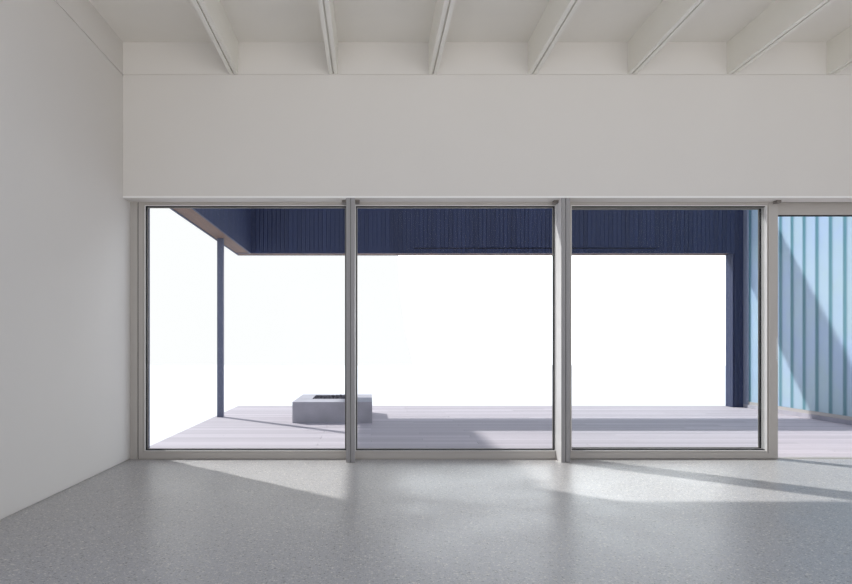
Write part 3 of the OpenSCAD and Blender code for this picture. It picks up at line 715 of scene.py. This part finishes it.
# %% [markdown]
# ## Boards on the porch frame
# The two beams and the leg are boxed in with the same boards around a solid core. All of them are
# gathered in one list of boxes, because they make one piece. The boxes of the CAD nodes come first,
# and the slot of the lamp, which has to stay open.

# %% Measures of the porch frame
SHELL = 0.025
left_low, left_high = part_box("left_beam")
beam_low, beam_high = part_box("front_beam")
leg_low, leg_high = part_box("right_leg")
lamp_low, lamp_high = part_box("light_strip")
soffit_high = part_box("beam_soffits")[1]
LAMP_PLAY = 0.002
slot_low = (lamp_low.x - LAMP_PLAY, lamp_low.z)
slot_high = (lamp_high.x + LAMP_PLAY, lamp_high.z + LAMP_PLAY)
print("slot of the lamp:", [round(v, 3) for v in (*slot_low, *slot_high)])

# %% [markdown]
# The left beam shows both its sides. Its outer boards run on over the end of the front beam, as a
# builder would hide the joint.

# %% Left beam
frame_boxes = []
outer_edges = row(left_low.y, beam_high.y, BOARD_PITCH, BOARD_GAP)
frame_boxes.append(across_y(outer_edges, left_low.x, left_low.x + SHELL, left_low.z, left_high.z))
inner_edges = row(left_low.y, left_high.y, BOARD_PITCH, BOARD_GAP)
frame_boxes.append(across_y(inner_edges, left_high.x - SHELL, left_high.x, left_low.z, left_high.z))
print("boards of the left beam:", sum(map(len, frame_boxes)))

# %% [markdown]
# Upright boards on the right run from the ground to the top in one length. Those on the inner face
# of the front beam stop below and above the slot of the lamp.

# %% Front beam and leg
face_edges = row(left_high.x, beam_high.x, BOARD_PITCH, BOARD_GAP)
on_leg = face_edges[:, 0] > leg_low.x - BOARD_PITCH / 2
over_slot = (face_edges[:, 1] > slot_low[0]) & (face_edges[:, 0] < slot_high[0]) & ~on_leg
y0, y1 = beam_low.y, beam_low.y + SHELL
frame_boxes.append(across_x(face_edges[~over_slot & ~on_leg], y0, y1, beam_low.z, beam_high.z))
frame_boxes.append(across_x(face_edges[over_slot], y0, y1, beam_low.z, slot_low[1]))
frame_boxes.append(across_x(face_edges[over_slot], y0, y1, slot_high[1], beam_high.z))
frame_boxes.append(across_x(face_edges[on_leg], y0, y1, leg_low.z, beam_high.z))
y0, y1 = beam_high.y - SHELL, beam_high.y
long_edges = row(left_low.x + SHELL, beam_high.x, BOARD_PITCH, BOARD_GAP)
over_leg = long_edges[:, 0] > leg_low.x - BOARD_PITCH / 2
frame_boxes.append(across_x(long_edges[~over_leg], y0, y1, beam_low.z, beam_high.z))
frame_boxes.append(across_x(long_edges[over_leg], y0, y1, leg_low.z, beam_high.z))
# The right end, from the ground up, and the leg's inner side
end_edges = row(beam_low.y + SHELL, beam_high.y - SHELL, BOARD_PITCH, BOARD_GAP)
frame_boxes.append(across_y(end_edges, beam_high.x - SHELL, beam_high.x, leg_low.z, beam_high.z))
frame_boxes.append(across_y(end_edges, leg_low.x, leg_low.x + SHELL, leg_low.z, leg_high.z))
print("with the front beam and the leg:", sum(map(len, frame_boxes)))

# %% [markdown]
# Solid cores fill the frame behind the boards, so that no light passes the open joints.

# %% Cores and the finished frame
core_z = soffit_high.z
cores = [
    [left_low.x + SHELL, left_low.y, core_z, left_high.x - SHELL, left_high.y, left_high.z],
    [left_low.x + SHELL, beam_low.y, core_z, left_high.x, beam_high.y - SHELL, beam_high.z],
    [left_high.x, beam_low.y + SHELL, core_z,
     beam_high.x - SHELL, beam_high.y - SHELL, beam_high.z],
    [leg_low.x + SHELL, leg_low.y + SHELL, leg_low.z,
     leg_high.x - SHELL, leg_high.y - SHELL, core_z],
    [left_low.x + SHELL, left_low.y, left_low.z, left_high.x - SHELL, left_low.y + SHELL, core_z],
    [left_low.x + SHELL, left_high.y - SHELL, left_low.z, left_high.x - SHELL,
     left_high.y + SHELL, core_z],
]
frame_boxes.append(np.array(cores))
box_piece("porch_frame_boards", np.concatenate(frame_boxes), dark_stain, "dark_boards",
          stands_for=("left_beam", "front_beam", "right_leg"), bevel=BOARD_BEVEL, seed=7)

# %% [markdown]
# ## Deck
# The deck is made of weathered boards along the house, over sleepers. A board stops where the fire
# pit, the post or the leg comes through. A Boolean modifier could cut those holes, but boards that
# are worked out from their ends keep clean faces.

# %% Lines and holes of the deck
DECK_PITCH = 0.144
DECK_GAP = 0.005
NOTCH_GAP = 0.005
SLEEPER_W = 0.045
SLEEPER_PITCH = 0.6
deck_low, deck_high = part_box("deck_boards")
pit_low, pit_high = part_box("fire_pit")
post_low, post_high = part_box("porch_post")
house_front_y = front_high.y
deck_front_y = house_front_y + NOTCH_GAP
deck_rows = row(deck_front_y, deck_high.y, DECK_PITCH, DECK_GAP)
sleeper_span = deck_high.x - deck_low.x - SLEEPER_W
sleeper_gaps = math.ceil(sleeper_span / SLEEPER_PITCH)
sleeper_mid = deck_low.x + SLEEPER_W / 2 + np.linspace(0, sleeper_span, sleeper_gaps + 1)
holes = [(pit_low.x, pit_low.y, pit_high.x, pit_high.y)]
for low, high in ((post_low, post_high), (leg_low, leg_high)):
    holes.append((low.x - NOTCH_GAP, low.y - NOTCH_GAP, high.x + NOTCH_GAP, high.y + NOTCH_GAP))
print("deck rows:", len(deck_rows), "sleepers:", len(sleeper_mid))

# %% [markdown]
# A hole may begin in the middle of a board. The board is then cut along into strips, and each strip
# keeps what lies on both sides of the hole.

# %% Cuts round the holes
SHORTEST_BOARD = 0.01


def strips(y0, y1):
    """A board cut across its width where the edge of a hole runs along it."""
    cuts = sorted({y0, y1, *[y for h in holes for y in (h[1], h[3]) if y0 < y < y1]})
    return list(zip(cuts[:-1], cuts[1:]))


def runs(x0, x1, y0, y1):
    """The lengths of a strip that are left beside the holes."""
    left = [(x0, x1)]
    for h in holes:
        if h[1] < (y0 + y1) / 2 < h[3]:
            parts = [(s, min(e, h[0])) for s, e in left] + [(max(s, h[2]), e) for s, e in left]
            left = sorted((a, b) for a, b in parts if b - a > SHORTEST_BOARD)
    return left


# %% [markdown]
# Long boards are butted over the sleepers, at other sleepers from row to row, so that the joints
# don't line up. Where the glazing stands back from the front, the deck has a tongue, which is one
# more board.

# %% Deck boards
BUTT_GAP = 0.003
BUTTS = [(5, 11), (3, 8, 13), (6, 12), (4, 9)]  # Sleepers under the joints, row by row
deck_boxes = []
for number, (y0, y1) in enumerate(deck_rows):
    ends = [deck_low.x, *sleeper_mid[list(BUTTS[number % len(BUTTS)])], deck_high.x]
    for a, b in zip(ends[:-1], ends[1:]):
        a += BUTT_GAP / 2 if a > deck_low.x else 0
        b -= BUTT_GAP / 2 if b < deck_high.x else 0
        for s0, s1 in strips(y0, y1):
            for x0, x1 in runs(a, b, s0, s1):
                deck_boxes.append([x0, s0, deck_low.z, x1, s1, deck_high.z])
tongue = cad["deck_boards"].data.vertices
tongue_x = [v.co.x for v in tongue if v.co.y < house_front_y - TOUCH]
deck_boxes.append([min(tongue_x), deck_low.y, deck_low.z,
                   max(tongue_x), deck_front_y - DECK_GAP / 2, deck_high.z])
box_piece("deck_planks", deck_boxes, silver_deck, "deck_timber", stands_for=("deck_boards",),
          bevel=BOARD_BEVEL, seed=11)

# %% [markdown]
# Each crossing of a board and a sleeper has two screws. A screw head is a low disc with eight
# sides. One disc is computed from angles, and all the places are added to it at once.

# %% Deck screws
SCREW_R = 0.004
SCREW_H = 0.0006
SCREW_SIDES = 8
SCREW_IN = 0.025
SCREW_CLEAR = 0.02
SCREW_SUNK = 0.0003
angles = np.linspace(0, 2 * math.pi, SCREW_SIDES, endpoint=False)
rim = np.stack([SCREW_R * np.cos(angles), SCREW_R * np.sin(angles)], axis=1)
disc = np.concatenate([np.c_[rim, np.full(SCREW_SIDES, z)] for z in (0.0, SCREW_H)])
around = np.arange(SCREW_SIDES)
disc_sides = np.stack([around, np.roll(around, -1), np.roll(around, -1) + SCREW_SIDES,
                       around + SCREW_SIDES], axis=1)
spots = np.array([(x, y) for x in sleeper_mid for y0, y1 in deck_rows
                  for y in (y0 + SCREW_IN, y1 - SCREW_IN)
                  if not any(h[0] - SCREW_CLEAR < x < h[2] + SCREW_CLEAR
                             and h[1] - SCREW_CLEAR < y < h[3] + SCREW_CLEAR for h in holes)])
screw_points = disc[None] + np.c_[spots, np.full(len(spots), deck_high.z - SCREW_SUNK)][:, None, :]
first = len(disc) * np.arange(len(spots))
screw_faces = (disc_sides[None] + first[:, None, None]).reshape(-1, 4).tolist()
screw_faces += (around[None] + SCREW_SIDES + first[:, None]).tolist()
screw_faces += (around[None, ::-1] + first[:, None]).tolist()
piece("deck_screws", screw_points.reshape(-1, 3), screw_faces, steel_finish, "steel")

# %% [markdown]
# ## Panes, seals and spacers
# A sealed unit is two panes held apart by a spacer. In its sash it sits between a bead with a
# rubber seal on the room side and a pressed metal stop outside; the bead's pale colour is a painted
# highlight of its lit edge. Black seals and spacers draw a thin dark line round each fixed pane.
# Along the stiles of the leaf they are pale and narrow, a painted highlight of the sunlit stile
# sides. Each part is a plate, or a ring of four bars, which the next helper makes.

# %% Rings
def ring(outline, inset, side_w, rail_h, y0, y1):
    """Uprights and level bars of a ring that starts inset from an outline (x0, x1, z0, z1)."""
    x0, x1 = outline[0] + inset, outline[1] - inset
    z0, z1 = outline[2] + inset, outline[3] - inset
    sides = [[x0, y0, z0, x0 + side_w, y1, z1], [x1 - side_w, y0, z0, x1, y1, z1]]
    rails = [[x0 + side_w, y0, z0, x1 - side_w, y1, z0 + rail_h],
             [x0 + side_w, y0, z1 - rail_h, x1 - side_w, y1, z1]]
    return sides, rails


# %% [markdown]
# Everything follows from the box of the CAD glass, so the same lines make the fixed units and the
# one that slides. Only the body that they ride on and the seals at the sides differ.

# %% Sealed units
PANE_T = 0.006
GLASS_HIDDEN = 0.011
BEAD_W = 0.005
BEAD_DEPTH = 0.024
SEAL_W = 0.008
SEAL_T = 0.004
LEAF_SEAL_W = 0.003
STOP_W = 0.019
STOP_T = 0.005
TRIM_BEVEL = 0.0008


def sealed_units(title, names, body, side_material, side_w):
    """Panes on one body, with their beads, seals, spacers and outer stops."""
    panes, beads, side_seals, rail_seals, stops = [], [], [], [], []
    for name in names:
        low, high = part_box(name)
        panes.append([low.x, low.y, low.z, high.x, low.y + PANE_T, high.z])
        panes.append([low.x, high.y - PANE_T, low.z, high.x, high.y, high.z])
        edge = (low.x, high.x, low.z, high.z)
        covered = GLASS_HIDDEN + BEAD_W
        for sides, rails in (
                ring(edge, 0, covered + side_w, covered + SEAL_W, low.y + PANE_T, high.y - PANE_T),
                ring(edge, covered, side_w, SEAL_W, low.y - SEAL_T, low.y)):
            side_seals += sides
            rail_seals += rails
        sides, rails = ring(edge, GLASS_HIDDEN, BEAD_W, BEAD_W, low.y - BEAD_DEPTH, low.y)
        beads += sides + rails
        stop_w = STOP_W - SEAL_W + side_w
        sides, rails = ring(edge, GLASS_HIDDEN, stop_w, STOP_W, high.y, high.y + STOP_T)
        stops += sides + rails
    box_piece(title + "_panes", panes, clear_glass, "window_glass", body=body, stands_for=names)
    for part, bars, finish, slot in (("_beads", beads, highlight_pale_metal, "aluminium"),
                                     ("_side_seals", side_seals, side_material, "lamp_cover"),
                                     ("_rail_seals", rail_seals, seal_rubber, "lamp_cover"),
                                     ("_stops", stops, frame_metal, "aluminium")):
        box_piece(title + part, bars, finish, slot, body=body, bevel=TRIM_BEVEL)


fixed_names = ("fixed_glass_1", "fixed_glass_2", "fixed_glass_3")
sealed_units("fixed", fixed_names, "house", seal_rubber, SEAL_W)
# The leaf's pale side seals are a painted highlight of its sunlit stile sides
sealed_units("leaf", ("leaf_glass",), "door_leaf", highlight_pale_metal, LEAF_SEAL_W)

# %% [markdown]
# ## Trim of the glazed front
# A white metal bead finishes the lower edge of the wall over the glazing. Under the head rail of
# the doorway hangs a black brush, which is drawn as one plain bar, because its hairs don't show.

# %% Header bead and brush
header_low, header_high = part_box("header_wall")
BEAD_H = 0.016
BEAD_T = 0.002
BEAD_BEVEL = 0.0005
bead = [[header_low.x, header_low.y - BEAD_T, header_low.z, header_high.x, header_low.y,
         header_low.z + BEAD_H]]
box_piece("header_bead", bead, bead_paint, "coping", bevel=BEAD_BEVEL)

rail_low, rail_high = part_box("door_head_rail")
BRUSH_H = 0.012
BRUSH_T = 0.010
brush_y = (rail_low.y + rail_high.y) / 2
brush = [[rail_low.x, brush_y - BRUSH_T, rail_low.z - BRUSH_H, rail_high.x, brush_y, rail_low.z]]
box_piece("door_brush", brush, seal_rubber, "lamp_cover")

# %% [markdown]
# Small dark brackets sit in the upper corners of the bays. Their places along X come from the
# points of the CAD mullions and from the leaf's edge, so they move with the model.

# %% Header brackets
BRACKET = (0.042, 0.060, 0.026)
BRACKET_Y = 0.095
BRACKET_BEVEL = 0.001
STILE_BRACKET_IN = 0.046
mullion_points = np.array([v.co for v in cad["mullions"].data.vertices])
first_mullion = mullion_points[mullion_points[:, 0] < mullion_points[:, 0].mean(), 0]
second_mullion = mullion_points[mullion_points[:, 0] > mullion_points[:, 0].mean(), 0]
leaf_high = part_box("leaf_edge")[1]
bracket_x = [first_mullion.min() - BRACKET[0], first_mullion.max(),
             second_mullion.min() - BRACKET[0], leaf_high.x - STILE_BRACKET_IN - BRACKET[0] / 2]
brackets = [[x, BRACKET_Y, header_low.z - BRACKET[2], x + BRACKET[0], BRACKET_Y + BRACKET[1],
             header_low.z] for x in bracket_x]
box_piece("header_brackets", brackets, bracket_metal, "coping", bevel=BRACKET_BEVEL)

# %% [markdown]
# A thin dark strip in the groove of each mullion is painted shade of the groove, and another paints
# the shaded joint at the left jamb. Each is one thin bar, as high as what it darkens.

# %% Painted shade in the mullion grooves and at the jamb
GROOVE_DEPTH = 0.006
GROOVE_SHADE_STRIP = (0.0026, 0.003)
shade_strip_x = [(points.min() + points.max() - GROOVE_SHADE_STRIP[0]) / 2
          for points in (first_mullion, second_mullion)]
groove_shade_strips = [[x, mullion_low.y + GROOVE_DEPTH - GROOVE_SHADE_STRIP[1], mullion_low.z,
                 x + GROOVE_SHADE_STRIP[0], mullion_low.y + GROOVE_DEPTH, mullion_high.z] for x in shade_strip_x]
box_piece("mullion_groove_shade", groove_shade_strips, seal_rubber, "lamp_cover")

JAMB_SHADE_STRIP = (0.004, 0.001)
sash_low, sash_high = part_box("fixed_sash_1")
jamb_shade_strip = [[sash_low.x, sash_low.y - JAMB_SHADE_STRIP[1], sash_low.z,
                sash_low.x + JAMB_SHADE_STRIP[0], sash_low.y, sash_high.z]]
box_piece("jamb_shade_strip", jamb_shade_strip, seal_rubber, "lamp_cover")

# %% [markdown]
# ## Joints of the channel glass
# A soft seal closes the narrow gap between two channels, a little back from the face.

# %% Screen joints
JOINT_FRONT = 0.001
JOINT_BACK = 0.008
joint_count = round((screen_high.y - screen_low.y + CHANNEL_GAP) / CHANNEL_PITCH) - 1
joint_y = screen_low.y + CHANNEL_PITCH * (1 + np.arange(joint_count)) - CHANNEL_GAP
joints = [[screen_low.x + JOINT_FRONT, y, screen_low.z,
           screen_low.x + JOINT_BACK, y + CHANNEL_GAP, screen_high.z] for y in joint_y]
box_piece("screen_joints", joints, joint_rubber, "channel_glass")

# %% [markdown]
# ## Stones in the fire bowl
# Each stone starts as a ball of 42 points. A ball of rings would have its faces crowded at two
# poles, and this one spreads them evenly, so that no stone shows where its poles were.

# %% A ball for the stones
def ball():
    """A ball of 42 points and 80 faces: each edge of an icosahedron is halved and pushed out."""
    golden = (1 + 5 ** 0.5) / 2
    corners = [(-1, golden, 0), (1, golden, 0), (-1, -golden, 0), (1, -golden, 0),
               (0, -1, golden), (0, 1, golden), (0, -1, -golden), (0, 1, -golden),
               (golden, 0, -1), (golden, 0, 1), (-golden, 0, -1), (-golden, 0, 1)]
    faces = [(0, 11, 5), (0, 5, 1), (0, 1, 7), (0, 7, 10), (0, 10, 11), (1, 5, 9), (5, 11, 4),
             (11, 10, 2), (10, 7, 6), (7, 1, 8), (3, 9, 4), (3, 4, 2), (3, 2, 6), (3, 6, 8),
             (3, 8, 9), (4, 9, 5), (2, 4, 11), (6, 2, 10), (8, 6, 7), (9, 8, 1)]
    halves = {}
    out = []

    def half(a, b):
        """The middle of an edge, made once for the two faces that share it."""
        key = (min(a, b), max(a, b))
        if key not in halves:
            halves[key] = len(corners)
            corners.append(tuple((np.array(corners[a]) + np.array(corners[b])) / 2))
        return halves[key]

    for a, b, c in faces:
        ab, bc, ca = half(a, b), half(b, c), half(c, a)
        out += [(a, ab, ca), (b, bc, ab), (c, ca, bc), (ab, bc, ca)]
    points = np.array(corners, float)
    return points / np.linalg.norm(points, axis=1, keepdims=True), np.array(out)


ball_points, ball_faces = ball()
print("ball:", len(ball_points), "points,", len(ball_faces), "faces")

# %% [markdown]
# The balls are laid on a loose grid in three layers. Random numbers shift them, squash them, move
# every point in or out, and turn them. A physics run could drop them in the bowl, but it would take
# longer and look the same from a standing eye.

# %% Lava stones
STONE_SIZE = 0.034
BOWL_MARGIN = 0.035
STONE_STEP = 1.75
STONE_LAYERS = (0.55, 1.8, 3.05)
ASIDE = (-0.25, 0.25)
UP_OR_DOWN = (-0.2, 0.35)
STRETCH = (0.75, 1.15)
IN_OR_OUT = (0.78, 1.12)
FLATTER = (1, 1, 0.8)
bed_low, bed_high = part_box("fire_bed")
random = np.random.default_rng(23)
spots = []
for layer, lift in enumerate(STONE_LAYERS):
    step = STONE_SIZE * STONE_STEP
    shift = layer % 2 * step / 2
    xs = np.arange(bed_low.x + BOWL_MARGIN + shift, bed_high.x - BOWL_MARGIN, step)
    ys = np.arange(bed_low.y + BOWL_MARGIN + shift, bed_high.y - BOWL_MARGIN, step)
    gx, gy = np.meshgrid(xs, ys)
    height = np.full(gx.size, bed_high.z + lift * STONE_SIZE)
    spots.append(np.stack([gx.ravel(), gy.ravel(), height], axis=1))
spots = np.concatenate(spots)
spots[:, :2] += random.uniform(*ASIDE, (len(spots), 2)) * STONE_SIZE
spots[:, 2] += random.uniform(*UP_OR_DOWN, len(spots)) * STONE_SIZE
sizes = STONE_SIZE * random.uniform(*STRETCH, (len(spots), 1, 3)) * FLATTER
bumps = random.uniform(*IN_OR_OUT, (len(spots), len(ball_points), 1))
turn = random.uniform(0, 2 * math.pi, len(spots))
shape = ball_points[None] * bumps * sizes
cos, sin = np.cos(turn)[:, None], np.sin(turn)[:, None]
turned = np.stack([shape[..., 0] * cos - shape[..., 1] * sin,
                   shape[..., 0] * sin + shape[..., 1] * cos, shape[..., 2]], axis=2)
stone_points = (turned + spots[:, None, :]).reshape(-1, 3)
stone_faces = ball_faces[None] + len(ball_points) * np.arange(len(spots))[:, None, None]
piece("lava_stones", stone_points, stone_faces.reshape(-1, 3), lava, "gravel")

# %% [markdown]
# ## The stage
# A wide pale floor under the object. It isn't part of it.

# %% Floor
STAGE = 40.0
STAGE_DROP = 0.001
STAGE_COLOUR = (0.86, 0.86, 0.86, 1)
stage_mesh = bpy.data.meshes.new("stage_floor")
stage_corners = [(-STAGE, -STAGE, 0), (STAGE, -STAGE, 0), (STAGE, STAGE, 0), (-STAGE, STAGE, 0)]
stage_mesh.from_pydata(stage_corners, [], [(0, 1, 2, 3)])
stage_floor = bpy.data.objects.new("stage_floor", stage_mesh)
stage_floor.location.z = -STAGE_DROP
bpy.context.scene.collection.objects.link(stage_floor)
stage_mesh.materials.append(new_material("pale_floor", Roughness=0.9, Base_Color=STAGE_COLOUR)[0])
print("stage:", 2 * STAGE, "m square")
